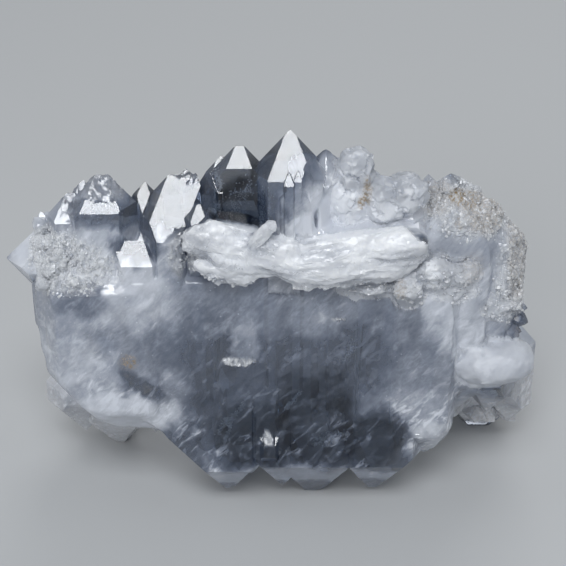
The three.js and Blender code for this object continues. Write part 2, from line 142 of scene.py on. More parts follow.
# Where the quartz is milky, and where it is clear again.
MILK_ZONES = [
    Zone((0, 15, 0), (32, 30, 16), 0.2, 0.2),  # a thin haze everywhere
    Zone((-20, 20, 0), (8.5, 12.5, 7), 0.5, 0.4),
    Zone((-24, 14, 1), (4, 6, 6), 0.8, 0.4),
    Zone((-18.8, 11.2, 2), (4.8, 2.6, 5), 0.6, 0.65),
    Zone((-20.5, 31, 0), (9, 5, 7), 0.3, 0.45),
    Zone((-28, 31, -1), (2.5, 4, 4), 0.3, 0.5),
    Zone((-4, 26.5, 1), (17, 3.5, 7), 0.8, 0.35),
    Zone((7.5, 35, 1), (6.5, 2.6, 5), 0.5, 0.75),
    Zone((10, 37.5, 0), (7, 6, 6), 0.3, 0.5),
    Zone((2.6, 36.5, 2), (3.0, 4, 3), 0.5, 0.5),
    Zone((-1.9, 34.9, 4.7), (1.5, 1.8, 0.8), 0.2, 0.8),
    Zone((15.6, 32.4, 2.8), (1.6, 2.6, 2.2), 0.3, 0.6),
    Zone((20, 28, -2), (6.5, 9.5, 6), 0.3, 0.55),
    Zone((17, 16, 0), (4, 8, 5), 0.8, 0.35),
    Zone((13, 11.5, 1), (4, 2.5, 4), 0.8, 0.3),
    Zone((2, 2.2, 0), (14, 1.6, 5), 0.5, 0.45),
    Zone((-8.2, 6.3, 1), (1.1, 3.4, 3), 0.8, 0.35),
    Zone((-4.2, 20.6, 2.5), (1.0, 2.0, 1.2), 1.0, 0.4),
    Zone((17, 7.6, 1), (2.6, 2.8, 3), 0.4, 0.5),
    Zone((24, 9, -9), (7, 8, 8), 0.2, 0.45),
    Zone((-21, 8, -10), (9, 10, 6), 0.2, 0.45),
    Zone((-20, 38, 0), (3.4, 2.4, 3), 0.3, 0.25),
    Zone((0, 16, -10), (30, 26, 5), 0.5, 0.65),
]
CLEAR_ZONES = [
    Zone((-15.2, 15.6, 3.4), (1.1, 0.9, 2), 1.6, 0.75),
    Zone((-17.2, 16.8, 3.4), (0.7, 0.7, 2), 1.6, 0.4),
    Zone((-22.3, 26.2, 3), (1.8, 1.0, 2), 1.5, 0.5),
    Zone((-10, 21, 3), (4.0, 2.6, 2), 1.0, 0.3),
    Zone((-4.6, 36.4, 1), (3.0, 2.6, 4), 0.2, 0.9),
    Zone((-1.6, 39, 1.5), (2.0, 4, 4), 0.3, 0.5),
    Zone((-19.2, 35.4, 0), (3.6, 1.2, 3), 0.3, 0.6),
    Zone((-15.8, 31.6, 2.4), (2.4, 1.8, 1.2), 0.3, 0.6),
    Zone((-14.6, 36, 0), (1.6, 3.5, 3), 0.3, 0.5),
    Zone((-3.5, 8.6, 1), (4.5, 3.4, 4), 0.8, 0.85),
    Zone((3.6, 10.6, 1), (4.0, 4.6, 4), 0.8, 0.85),
    Zone((10.5, 8.2, 1), (3.5, 2.6, 4), 0.8, 0.85),
]
# Painted darkness: a dark blue tint on the front of the thick clear places, standing in for the dark
# surroundings seen through them.
PAINTED_DARK_ZONES = [
    Zone((1.5, 9.5, 2), (11, 6.5, 4), 0.6, 0.95),
    Zone((-4.6, 36.4, 1), (3.2, 2.8, 4), 0.3, 0.9),
    Zone((2, 20, 2), (14, 6, 3), 0.6, 0.6),
    Zone((-0.6, 38.6, 2), (3.0, 3.4, 4), 0.3, 0.5),
]
# Milky, rounded slabs whose edges are worn soft.
WORN_ZONES = [
    Zone((-20.4, 17.0, 1.5), (9.6, 11.2, 6), 0.15),
    Zone((20.5, 27.5, -1), (6.4, 8, 4.5), 0.2),
    Zone((19.6, 14.5, 1.2), (2.6, 8, 2.4), 0.3),
    Zone((2.9, 35.8, 2), (2.2, 2.8, 2.2), 0.3),
]
# The broad front, where the crystals have grown into one face with soft joints.
FRONT_ZONES = [
    Zone((0, 20.5, 3.2), (16, 8.5, 2.2), 0.2),
    Zone((-12, 22, 3.2), (6, 6, 2.2), 0.3),
]
FRONT_LEVEL = ((-16, 3.3), (-12.5, 3.15), (-7, 2.5), (17, 2.45))  # depth of that face along the plate
# Glassy faces that are broken into small chips.
BROKEN_ZONES = [
    Zone((-19, 38.2, 0), (2.8, 1.4, 1.6), 0.3),
    Zone((-22.4, 36.4, 0), (1.4, 2.0, 1.6), 0.4, 0.7),
    Zone((-10.2, 39.2, -1.6), (1.6, 0.7, 1.2), 0.3, 0.9),
]
# Small broken places on the front.
CHIP_ZONES = [
    Zone((-5.0, 18.3, 2.6), (1.5, 0.5, 1.0), 0.6),
    Zone((5.9, 23.8, 2.5), (0.7, 0.2, 0.8), 0.6),
    Zone((-1.5, 8.3, 2.6), (0.6, 0.35, 0.8), 0.6),
]
# Sugar-like crusts of small crystals on the two shoulders.
DRUSE_LEFT_ZONES = [
    Zone((-23.2, 29.8, 1), (3.5, 2.6, 3), 0.6, 0.9),
    Zone((-25.4, 31.2, -0.6), (2.2, 2.2, 3), 0.3, 0.8),
    Zone((-18.8, 29.2, 1.5), (1.8, 1.4, 2), 0.5, 0.4),
]
DRUSE_RIGHT_ZONES = [
    Zone((20, 35, -1.6), (4.4, 2.9, 3), 0.45, 0.8),
    Zone((25, 27.5, -2.4), (1.9, 5.2, 4), 0.45, 0.7),
]
# Rough places at the ridge's left end and about the small aslant crystal.
ROUGH_ZONES = [
    Zone((-10.4, 31.6, 3.2), (1.6, 2.2, 1.4), 0.5, 0.7),
    Zone((-1.9, 34.9, 4.7), (1.5, 1.8, 0.8), 0.2, 0.4),
]
# Places that are only dulled: low on the right and on the back masses.
DULL_ZONES = [
    Zone((17, 7.8, 1), (2.4, 2.4, 3), 0.4, 0.25),
    Zone((-21, 5, -10), (9, 7, 6), 0.2, 0.3),
    Zone((25, 7, -9), (6, 6, 8), 0.2, 0.3),
]
CRUST_ZONES = DRUSE_LEFT_ZONES + DRUSE_RIGHT_ZONES + ROUGH_ZONES
FROST_ZONES = CRUST_ZONES + DULL_ZONES
# The ridge's broken lower rim and left end.
RIM_ZONES = [
    Zone((-7.2, 29.2, 4.0), (1.6, 0.7, 1.2), 0.3),
    Zone((-3, 28.3, 4.4), (2.4, 0.6, 1.2), 0.3),
    Zone((4, 28.2, 4.5), (3.6, 0.5, 1.2), 0.3),
    Zone((10.5, 28.1, 3.8), (3.0, 0.6, 1.2), 0.3),
    Zone((-10.6, 31.6, 3.3), (1.5, 2.2, 1.2), 0.3, 0.7),
]
# Brown stains.
STAIN_ZONES = [
    Zone((8.8, 38.6, 2.2), (0.35, 1.2, 1.2), 0.6, 0.9),
    Zone((8.4, 37.3, 2.8), (0.5, 0.6, 1), 0.6, 0.9),
    Zone((18.6, 36.8, -0.8), (0.7, 0.6, 1.2), 0.5, 1.0),
    Zone((19.6, 36.4, -0.6), (1.2, 0.7, 1.2), 0.6, 0.7),
    Zone((21.4, 34.9, -0.6), (2.4, 1.8, 1.8), 0.6, 0.55),
    Zone((25.8, 29.5, -2), (1.4, 5, 3), 0.5, 0.45),
    Zone((16.4, 36.6, -1), (1.6, 1.6, 2), 0.5, 0.4),
    Zone((18.8, 34.2, 0.2), (0.5, 0.7, 1), 0.6, 0.7),
    Zone((24, 8, -9), (7, 8, 8), 0.2, 0.3),
    Zone((-21, 6, -10), (9, 7, 6), 0.2, 0.25),
    Zone((-17.0, 18.6, 3.4), (0.7, 0.7, 0.6), 0.8, 0.9),
    Zone((26.5, 19.8, -2), (0.9, 0.8, 1.2), 0.6, 0.4),
    Zone((20.6, 29.3, 2), (1.2, 1.6, 1.4), 0.6, 0.3),
    Zone((12.6, 27.6, 3.4), (0.5, 1.2, 0.8), 0.6, 0.5),
]


# ---------------------------------------------------------------- meshes
def welded(mesh):
    """A mesh's triangles, with its split corners joined again, in the plate frame."""
    mesh.calc_loop_triangles()
    points = np.empty(len(mesh.vertices) * 3)
    mesh.vertices.foreach_get("co", points)
    corners = np.empty(len(mesh.loop_triangles) * 3, np.int32)
    mesh.loop_triangles.foreach_get("vertices", corners)
    keys = np.round(points.reshape(-1, 3) / MM, 4)
    unique, place = np.unique(keys, axis=0, return_inverse=True)
    triangles = place.reshape(-1)[corners].reshape(-1, 3)
    a, b, c = triangles.T
    whole = (a != b) & (b != c) & (c != a)
    return to_plate(unique * MM), triangles[whole]


def refined(points, triangles, wanted, rounds=12):
    """Splits triangles until no edge is longer than wanted(its middle), with no gaps between them."""
    for _ in range(rounds):
        pairs = np.sort(triangles[:, [[0, 1], [1, 2], [2, 0]]].reshape(-1, 2), axis=1)
        edges, index = np.unique(pairs, axis=0, return_inverse=True)
        index = index.reshape(-1, 3)
        ends = points[edges]
        middles = ends.mean(1)
        length = np.linalg.norm(ends[:, 0] - ends[:, 1], axis=1)
        split = length > wanted(middles)
        if not split.any():
            break
        longest = index[np.arange(len(index)), length[index].argmax(1)]
        for _ in range(4):
            split[longest[split[index].any(1)]] = True
        new = np.full(len(edges), -1)
        new[split] = len(points) + np.arange(split.sum())
        points = np.vstack([points, middles[split]])
        triangles = cut_triangles(triangles, new[index])
    return points, triangles


def cut_triangles(triangles, middle):
    """Cuts each triangle at the new points in the middle of its edges (-1 where an edge has none)."""
    count = (middle >= 0).sum(1)
    made = [triangles[count == 0]]
    for turn in range(3):
        order = [(turn + i) % 3 for i in range(3)]
        a, b, c = triangles[:, order].T
        ab, bc, ca = middle[:, order].T
        one = (count == 1) & (ab >= 0)
        made.append(np.stack([a, ab, c], 1)[one])
        made.append(np.stack([ab, b, c], 1)[one])
        two = (count == 2) & (ca < 0)
        made.append(np.stack([ab, b, bc], 1)[two])
        made.append(np.stack([a, ab, bc], 1)[two])
        made.append(np.stack([a, bc, c], 1)[two])
    a, b, c = triangles[count == 3].T
    ab, bc, ca = middle[count == 3].T
    made += [np.stack(t, 1) for t in ((a, ab, ca), (ab, b, bc), (ca, bc, c), (ab, bc, ca))]
    return np.vstack(made)


def gathered(index, values, count):
    """The sum of the rows of `values` that share an index."""
    return np.stack([np.bincount(index, column, count) for column in values.T], 1)


def corner_normals(points, triangles):
    """The skin's normal at each point."""
    a, b, c = (points[triangles[:, i]] for i in range(3))
    face = np.cross(b - a, c - a)
    total = gathered(triangles.ravel(), np.repeat(face, 3, axis=0), len(points))
    return total / np.maximum(np.linalg.norm(total, axis=1, keepdims=True), 1e-12)


def smoothed(points, triangles, weight, rounds):
    """Moves each point towards the middle of its neighbours, by its weight."""
    pairs = triangles[:, [[0, 1], [1, 2], [2, 0]]].reshape(-1, 2)
    pairs = np.unique(np.vstack([pairs, pairs[:, ::-1]]), axis=0)
    count = np.bincount(pairs[:, 0], minlength=len(points))[:, None]
    for _ in range(rounds):
        total = gathered(pairs[:, 0], points[pairs[:, 1]], len(points))
        points = points + weight[:, None] * (total / np.maximum(count, 1) - points)
    return points


BEND = 1.3  # mm, how far warped() moves a point at full noise


def fractal(points, size, octaves, offset=0.0):
    """Noise from about -1 to 1, with bumps `size` mm wide (one width, or one for each axis)."""
    places = np.asarray(points) / size + (offset, 0, 0)
    return np.array([noise.fractal(p, 0.9, 2.1, octaves) for p in places.tolist()])


def warped(points):
    """The points moved about by a millimetre or so, so that what follows them has uneven edges."""
    aside = [fractal(points, 2.6, 4, offset) for offset in (101.0, 202.0, 303.0)]
    return points + BEND * np.stack(aside, 1)


def ridged(points, size, octaves, offset=0.0):
    """Noise that rises to sharp crests of height 1, about `size` mm apart."""
    places = np.asarray(points) / size + (offset, 0, 0)
    return 1 - 2 * np.abs(np.array([noise.fractal(p, 1.0, 2.0, octaves) for p in places.tolist()]))


def shards(points, size, seed):
    """Heights of flat, tilted chips about `size` mm wide, from about -1 to 1.

    Each cell of a grid has one chip, with a place and a tilt that come from the cell's own numbers.
    """
    hashing = np.random.default_rng(seed).uniform(20, 90, (3, 6))
    places = np.asarray(points) / size
    nearest = np.full(len(places), np.inf)
    height = np.zeros(len(places))
    for step in itertools.product((-1, 0, 1), repeat=3):
        cell = np.floor(places) + step
        random = np.modf(np.abs(np.sin(cell @ hashing)) * 4375.85)[0]
        away = places - cell - random[:, :3]
        reach = (away ** 2).sum(1)
        closer = reach < nearest
        nearest = np.where(closer, reach, nearest)
        height = np.where(closer, (away * (2 * random[:, 3:] - 1)).sum(1), height)
    return height


def mesh_object(name, points, triangles, material, sharp=None):
    """A mesh object from points in the plate frame."""
    mesh = bpy.data.meshes.new(name)
    mesh.vertices.add(len(points))
    mesh.vertices.foreach_set("co", to_row(points).ravel())
    mesh.loops.add(3 * len(triangles))
    mesh.loops.foreach_set("vertex_index", triangles.astype(np.int32).ravel())
    mesh.polygons.add(len(triangles))
    mesh.polygons.foreach_set("loop_start", np.arange(0, 3 * len(triangles), 3, dtype=np.int32))
    mesh.update(calc_edges=True)
    mesh.validate()
    if sharp is not None:
        mesh.set_sharp_from_angle(angle=math.radians(sharp))
    mesh.materials.append(material)
    made = bpy.data.objects.new(name, mesh)
    bpy.context.scene.collection.objects.link(made)
    return made


def paint(made, **layers):
    """Stores one number a point under each name, for the material to read."""
    for name, values in layers.items():
        layer = made.data.attributes.new(name, "FLOAT", "POINT")
        layer.data.foreach_set("value", values.astype(np.float32))


# ---------------------------------------------------------------- materials
class Nodes:
    """Short calls for making a material's nodes."""

    def __init__(self, material):
        self.tree = material.node_tree
        self.tree.nodes.clear()

    def add(self, kind, values=None, **settings):
        """A node with these settings, its sockets linked where a value is a socket and set elsewhere."""
        node = self.tree.nodes.new(kind)
        for name, value in settings.items():
            setattr(node, name, value)
        for name, value in (values or {}).items():
            if isinstance(value, bpy.types.NodeSocket):
                self.tree.links.new(value, node.inputs[name])
            else:
                node.inputs[name].default_value = value
        return node

    def math(self, operation, a, b=0.0, clamp=False):
        return self.add("ShaderNodeMath", {0: a, 1: b}, operation=operation, use_clamp=clamp).outputs[0]

    def ramp(self, value, low, high, to_low=0.0, to_high=1.0):
        """`value` from low..high taken smoothly to to_low..to_high."""
        return self.add("ShaderNodeMapRange", {
            "Value": value, "From Min": low, "From Max": high, "To Min": to_low, "To Max": to_high,
        }, interpolation_type="SMOOTHSTEP").outputs["Result"]

    def mix(self, factor, a, b):
        node = self.add("ShaderNodeMix", data_type="RGBA")
        for socket, value in ((node.inputs[0], factor), (node.inputs[6], a), (node.inputs[7], b)):
            if isinstance(value, bpy.types.NodeSocket):
                self.tree.links.new(value, socket)
            else:
                socket.default_value = value
        return node.outputs[2]

    def painted(self, name):
        """What paint() stored under this name."""
        return self.add("ShaderNodeAttribute", attribute_name=name).outputs["Fac"]

    def plate_coordinates(self):
        """The surface's place in the plate frame, in millimetres."""
        place = self.add("ShaderNodeTexCoord").outputs["Object"]
        return self.add("ShaderNodeMapping", {
            "Vector": place,
            "Rotation": (math.radians(PLATE_LEAN - 90), 0, 0),
            "Scale": (1 / MM, 1 / MM, 1 / MM),
        }, vector_type="POINT").outputs[0]

    def component(self, place, axis):
        return self.add("ShaderNodeSeparateXYZ", {0: place}).outputs[axis]

    def turned(self, place, degrees):
        """`place` turned about the plate's front normal."""
        return self.add("ShaderNodeMapping", {
            "Vector": place, "Rotation": (0, 0, math.radians(degrees)),
        }, vector_type="POINT").outputs[0]

    def stretched(self, place, scale):
        return self.add("ShaderNodeVectorMath", {0: place, 1: scale}, operation="MULTIPLY").outputs[0]

    def cloud(self, place, scale, detail=4.0, distortion=0.0, rough=0.55):
        return self.add("ShaderNodeTexNoise", {
            "Vector": place, "Scale": scale, "Detail": detail, "Distortion": distortion,
            "Roughness": rough,
        }).outputs["Fac"]

    def cells(self, place, scale):
        return self.add("ShaderNodeTexVoronoi", {"Vector": place, "Scale": scale}).outputs["Distance"]


QUARTZ_IOR = 1.544
CLEAR_COLOUR = (0.93, 0.95, 0.97, 1)
# painted darkness: the dark blue tint that stands in for the dark seen through the thick clear quartz
PAINTED_DARK_COLOUR = (0.24, 0.31, 0.43, 1)
THIN_MILK_COLOUR = (0.32, 0.37, 0.48, 1)
MILK_COLOUR = (0.67, 0.7, 0.765, 1)
FROST_COLOUR = (0.96, 0.98, 1.0, 1)
DULL_FROST_COLOUR = (0.88, 0.9, 0.95, 1)
STAIN_COLOUR = (0.27, 0.19, 0.095, 1)
ABSORPTION_COLOUR = (0.715, 0.75, 0.795, 1)
ABSORPTION_DENSITY = 280.0  # per metre
C_AXIS = tuple(STAND[:, 1])  # the shared crystal axis, in the row frame
WISP_SLANT = 42  # degrees that the healed cracks run aslant
BUMP_DEPTH = 0.1 * MM
GLOW_DEPTH = 3 * MM  # how far light spreads under a milky face


def tilt_of_face(n):
    """0 on the prism faces, and higher on the pyramid faces at the crystals' ends."""
    normal = n.add("ShaderNodeNewGeometry").outputs["True Normal"]
    tilt = n.add("ShaderNodeVectorMath", {0: normal, 1: C_AXIS}, operation="DOT_PRODUCT").outputs["Value"]
    return n.math("ABSOLUTE", tilt)


def unevenness(n, place):
    """What is added to the painted milk: clouds, grain, wisps and streaks of healed cracks, and small
    white dots of painted sparkle.
    """
    slant = n.turned(place, WISP_SLANT)
    cloud = n.cloud(n.stretched(slant, (0.30, 0.17, 0.2)), 1.0, 7, 0.4, 0.6)
    grain = n.cloud(n.stretched(slant, (2.2, 1.1, 1.6)), 1.0, 6, 0.3, 0.65)
    wisp = n.ramp(n.cloud(n.stretched(slant, (0.8, 0.35, 0.5)), 1.0, 5, 0.8, 0.55), 0.45, 0.8)
    wisp = n.math("MULTIPLY", wisp, n.ramp(n.cloud(place, 0.16, 2), 0.35, 0.6))
    streak = n.ramp(n.cloud(n.stretched(slant, (1.2, 0.4, 0.9)), 1.0, 7, 0.8, 0.6), 0.48, 0.72)
    streak = n.math("MULTIPLY", streak, n.ramp(n.cloud(place, 0.22, 3), 0.42, 0.6))
    # the streaks fade above the lower plate
    streak = n.math("MULTIPLY", streak, n.ramp(n.component(place, "Y"), 12, 20, 1.0, 0.25))
    # painted sparkle: small white dots that stand in for tiny glints
    painted_sparkle = n.ramp(n.cells(place, 1.5), 0.06, 0.16, 1.0, 0.0)
    painted_sparkle = n.math("MULTIPLY", painted_sparkle, n.ramp(n.cloud(place, 0.5, 3), 0.45, 0.65))
    uneven = n.math("MULTIPLY", n.math("SUBTRACT", cloud, 0.5), 0.42)
    grain = n.math("SUBTRACT", grain, 0.5)
    for layer, strength in ((grain, 0.3), (wisp, 0.3), (streak, 0.55), (painted_sparkle, 0.3)):
        uneven = n.math("ADD", uneven, n.math("MULTIPLY", layer, strength))
    return uneven


def quartz_colour(n, place, milky, frost, stained):
    """Painted dark blue on the front where it is thick and clear, standing in for the dark seen through
    it; grey-blue under a thin haze, pale where milky or frosted.
    """
    far_back = n.ramp(n.component(place, "Z"), -6, -3, 1.0, 0.0)
    thin_milk = n.mix(far_back, THIN_MILK_COLOUR, MILK_COLOUR)
    colour = n.mix(n.ramp(milky, 0.25, 0.95), thin_milk, MILK_COLOUR)
    # the clear places take a painted dark tint on the front, which stands in for the dark seen through
    # them
    clear_or_painted_dark_colour = n.mix(n.painted("deep"), CLEAR_COLOUR, PAINTED_DARK_COLOUR)
    colour = n.mix(n.ramp(milky, 0.0, 0.3), clear_or_painted_dark_colour, colour)
    grit = n.ramp(n.cloud(place, 3.0, 6, 0.0, 0.75), 0.38, 0.62)
    colour = n.mix(frost, colour, n.mix(grit, DULL_FROST_COLOUR, FROST_COLOUR))
    return n.mix(stained, colour, STAIN_COLOUR)


def quartz_roughness(n, milky, frost, stained):
    """Smooth where it is clear, duller where it is milky, frosted, matte or stained."""
    rough = n.math("ADD", n.ramp(milky, 0.1, 1.0, 0.03, 0.12), n.math("MULTIPLY", frost, 0.15))
    rough = n.math("ADD", rough, n.math("MULTIPLY", n.painted("matte"), 0.3))
    return n.math("ADD", rough, n.math("MULTIPLY", stained, 0.3), clamp=True)


def quartz_bump(n, place, tilt, frost):
    """Growth lines across the prism faces, and pits in the frosted places."""
    prism = n.ramp(tilt, 0.15, 0.3, 1.0, 0.0)
    lines = n.cloud(n.stretched(place, (0.12, 2.6, 0.12)), 1.0, 3)
    lines = n.math("MULTIPLY", n.math("SUBTRACT", lines, 0.5), prism)
    pits = n.math("ADD", n.cells(place, 2.6), n.math("MULTIPLY", n.cloud(place, 5.0, 4, 0.5), 0.7))
    pits = n.math("MULTIPLY", pits, frost)
    height = n.math("ADD", n.math("MULTIPLY", lines, 0.35), n.math("MULTIPLY", pits, 0.8))
    bump = n.add("ShaderNodeBump", {"Height": height, "Strength": 0.35, "Distance": BUMP_DEPTH})
    return bump.outputs["Normal"]


def quartz_material():
    """Clear to milky quartz: glass, clouded where `milk` is painted and rough where `frost` is."""
    material = bpy.data.materials.new("quartz")
    material.use_nodes = True
    n = Nodes(material)
    place = n.plate_coordinates()
    frost = n.painted("frost")
    tilt = tilt_of_face(n)

    # the bright pyramid faces are more even than the rest
    calm = n.ramp(tilt, 0.45, 0.58, 1.0, 0.3)
    uneven = n.math("MULTIPLY", unevenness(n, place), calm)
    milky = n.math("ADD", n.painted("milk"), uneven, clamp=True)
    milky = n.math("MAXIMUM", milky, n.math("MULTIPLY", frost, 0.8), clamp=True)
    speckle = n.ramp(n.cloud(place, 3.6, 5, 0.0, 0.65), 0.36, 0.62)
    stained = n.math("MULTIPLY", n.painted("stain"), speckle, clamp=True)

    clear = n.math("SUBTRACT", 1.0, n.math("MULTIPLY", milky, 0.86))
    clear = n.math("MULTIPLY", clear, n.math("SUBTRACT", 1.0, n.math("MULTIPLY", stained, 0.8)))
    shader = n.add("ShaderNodeBsdfPrincipled", {
        "Base Color": quartz_colour(n, place, milky, frost, stained),
        "Roughness": quartz_roughness(n, milky, frost, stained),
        "Normal": quartz_bump(n, place, tilt, frost),
        "IOR": QUARTZ_IOR,
        "Transmission Weight": clear,
        "Subsurface Weight": 0.35,
        "Subsurface Scale": GLOW_DEPTH,
        "Subsurface Radius": (1, 1, 1),
    })
    absorption = n.add("ShaderNodeVolumeAbsorption", {
        "Color": ABSORPTION_COLOUR, "Density": ABSORPTION_DENSITY,
    })
    n.add("ShaderNodeOutputMaterial", {"Surface": shader.outputs[0], "Volume": absorption.outputs[0]})
    return material


VEIL_COLOURS = (0.75, 0.80, 0.88, 1), (0.97, 0.98, 1.0, 1)


def veil_material():
    """White specks of the healed cracks sealed in the clear quartz."""
    material = bpy.data.materials.new("veil")
    material.use_nodes = True
    n = Nodes(material)
    place = n.plate_coordinates()
    colour = n.mix(n.cloud(place, 0.8, 3), *VEIL_COLOURS)
    rough = n.ramp(n.cloud(place, 1.5, 2), 0.3, 0.7, 0.4, 0.7)
    shader = n.add("ShaderNodeBsdfPrincipled", {"Base Color": colour, "Roughness": rough})
    n.add("ShaderNodeOutputMaterial", {"Surface": shader.outputs[0]})
    return material


# ---------------------------------------------------------------- the cluster's skin
PYRAMID_LEAN = 51.8  # degrees between the crystal axis and a pyramid face's normal
FIRST_KNOB_SEED = 70
FRONT_PRESS = 0.85  # how far the front's faces come together, as a share of the way


def crystal_normals():
    """Normals of the six pyramid faces and the six prism faces, in the plate frame."""
    around = np.radians(60 * np.arange(6))
    flat = np.stack([np.sin(around), 0 * around, np.cos(around)], 1)
    lean = math.radians(PYRAMID_LEAN)
    return np.vstack([flat * math.sin(lean) + (0, math.cos(lean), 0), flat])


def flattened(points, lump, cuts):
    """Flattens a rounded lump against planes, each a normal and its reach over the lump's own."""
    weight = share(points, lump)
    for normal, reach in cuts:
        normal = np.array(normal) / np.linalg.norm(normal)
        over = (points - lump.at) @ normal - reach * np.linalg.norm(np.array(lump.size) * normal)
        points = points - (weight * np.maximum(over, 0))[:, None] * normal
    return points


def knob_cuts(seed):
    """Cuts for one knob: the crystal's own faces and a few others that face up or forward."""
    random = np.random.default_rng(seed)
    normals = np.vstack([crystal_normals(), random.normal(size=(8, 3)) + (0, 0.8, 1.0)])
    return [(normal, random.uniform(0.8, 0.95)) for normal in normals if normal @ (0, 0.6, 0.8) > -0.1]


# The egg is barely flattened: each cut is a normal and its reach over the egg's own.
EGG_CUTS = [
    ((0, 1, 0.2), 0.84), ((-0.75, 0.6, 0.3), 0.86), ((-0.6, -0.75, 0.3), 0.88), ((0.7, -0.65, 0.2), 0.9),
    ((0.75, 0.5, 0.4), 0.9), ((0, 0.3, 0.95), 0.9),
]

# The longest edge of the skin's triangles, in mm.
CHIP_EDGE = 0.2  # on the small broken places
FINE_EDGE = 0.46  # on the lumps, the ridge and the druse
WORN_EDGE = 0.75  # on the worn slabs
PLAIN_EDGE = 1.2  # elsewhere

# How deep the skin's relief is, in mm.
FACETS, SMALL_FACETS = 0.32, 0.12  # knobs and chunks
EGG_DENTS = 0.06
GLASS_CHIPS = 0.2
STREAKS, STREAK_CHIPS, STREAK_SINK = 0.3, 0.08, 0.12  # the ridge, which is also sunk a little
RIM_CHIPS = 0.4
CRUMBS = 0.32  # frosted and chipped places
SWELLS = 0.25  # worn slabs


def lump_mask(points):
    """Where the rounded lumps are."""
    return mask(points, KNOB_ZONES + EGG_ZONES + CHUNK_ZONES)


def along_ridge(points):
    """The points with the ridge's sag taken out, so that streaks follow it."""
    middle = np.interp(points[:, 0], *np.array(RIDGE_LINE).T)
    return points - np.stack([0 * middle, middle, 0 * middle], 1)


def longest_edge(middles):
    """The longest edge wanted at each place, in mm."""
    fine = np.maximum(lump_mask(middles), ridge_mask(middles)) > 0.02
    fine |= mask(middles, CRUST_ZONES + BROKEN_ZONES) > 0.1
    worn = mask(middles, WORN_ZONES + FRONT_ZONES + DULL_ZONES) > 0.02
    length = np.where(fine, FINE_EDGE, np.where(worn, WORN_EDGE, PLAIN_EDGE))
    return np.where(mask(middles, CHIP_ZONES) > 0.02, CHIP_EDGE, length)


def softened(points, triangles, lumps, ridge, worn):
    """Rounds the slabs and the ridge, cuts facets on the lumps and brings the front's faces together."""
    points = smoothed(points, triangles, 0.5 * np.maximum(worn * (1 - ridge), 0.5 * lumps), 12)
    points = smoothed(points, triangles, 0.4 * ridge, 5)
    points = smoothed(points, triangles, 0.35 * mask(points, FRONT_ZONES) * (1 - ridge), 6)
    for seed, lump in enumerate(KNOB_ZONES, FIRST_KNOB_SEED):
        points = flattened(points, lump, knob_cuts(seed))
    points = flattened(points, EGG_ZONES[0], EGG_CUTS)
    front = mask(points, FRONT_ZONES) * (1 - ridge)
    level = np.interp(points[:, 0], *np.array(FRONT_LEVEL).T)
    points[:, 2] += FRONT_PRESS * front * (level - points[:, 2])
    return points


def highest(*layers):
    """The highest of several layers at each point."""
    return np.maximum.reduce(layers)


def make_cluster(material):
    """The skin of the whole cluster, made from the CAD solid's own faces."""
    points, triangles = welded(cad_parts["quartz_cluster"].data)
    points, triangles = refined(points, triangles, longest_edge)
    lumps, ridge = lump_mask(points), ridge_mask(points)
    frost, worn = mask(points, FROST_ZONES), mask(points, WORN_ZONES)
    points = softened(points, triangles, lumps, ridge, worn)

    # relief
    bent = warped(points)
    chips = mask((points + bent) / 2, CHIP_ZONES)
    glassy = mask(points, BROKEN_ZONES)
    egg = mask(points, EGG_ZONES)
    chunks = mask(points, CHUNK_ZONES)
    rod = rod_mask(points)
    along = along_ridge(points)
    streaks = 0.6 * ridged(along, (9.0, 2.2, 3.0), 3, 7.0) + 0.4 * ridged(along, (4.0, 0.8, 1.2), 3, 5.0)
    crumbs = ridged(points, (0.7, 1.2, 0.7), 3, 11.0)
    facets = FACETS * shards(points, 1.5, seed=5) + SMALL_FACETS * shards(points, 0.7, seed=6)
    height = (lumps - egg).clip(0) * facets
    height += egg * EGG_DENTS * (fractal(points, 1.6, 3) + shards(points, 0.9, seed=9))
    height += glassy * GLASS_CHIPS * shards(points, 0.8, seed=7)
    height += ridge * (STREAKS * streaks - STREAK_SINK + STREAK_CHIPS * shards(points, 0.8, seed=8))
    height += mask(points, RIM_ZONES) * RIM_CHIPS * shards(points, 1.1, seed=12)
    height += np.maximum(frost * (1 - lumps), chips) * CRUMBS * crumbs
    height += worn * SWELLS * fractal(points, 3.5, 3, 21.0)
    points = grounded(points + corner_normals(points, triangles) * height[:, None])

    # what the material reads
    patches = np.clip(0.5 + 0.9 * fractal(along, (5, 1.6, 2), 3, 15.0), 0, 1)
    milk = mask(bent, MILK_ZONES) * (1 - mask(bent, CLEAR_ZONES))
    milk = highest(milk, ridge * (0.65 + 0.3 * patches), 0.8 * rod, 0.6 * lumps, 0.75 * egg)
    crest = np.clip(ridge * streaks + (1 - ridge) * crumbs, 0, 1)
    broken = highest(frost, 0.4 * glassy, 0.6 * chunks, chips, ridge * (0.55 + 0.45 * patches), 0.7 * rod)
    made = mesh_object("quartz_crystals", points, triangles, material, sharp=24)
    paint(
        made,
        milk=milk,
        # the painted dark tint on the front of the thick clear places
        deep=mask(bent, PAINTED_DARK_ZONES),
        frost=highest(broken * (0.6 + 0.4 * crest), 0.45 * (lumps - egg), 0.25 * egg),
        matte=highest(egg, 0.7 * lumps, 0.3 * ridge),
        stain=mask(points, STAIN_ZONES),
    )
    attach(made, "root")
    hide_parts("quartz_cluster")
    return points, triangles


# ---------------------------------------------------------------- small crystals on the skin
TIP_RISE = 1.1  # height of a crystal's pyramid over the radius of its prism
SUNK = (0.3, 0.8)  # how far a crystal is sunk into the skin, as a share of its radius

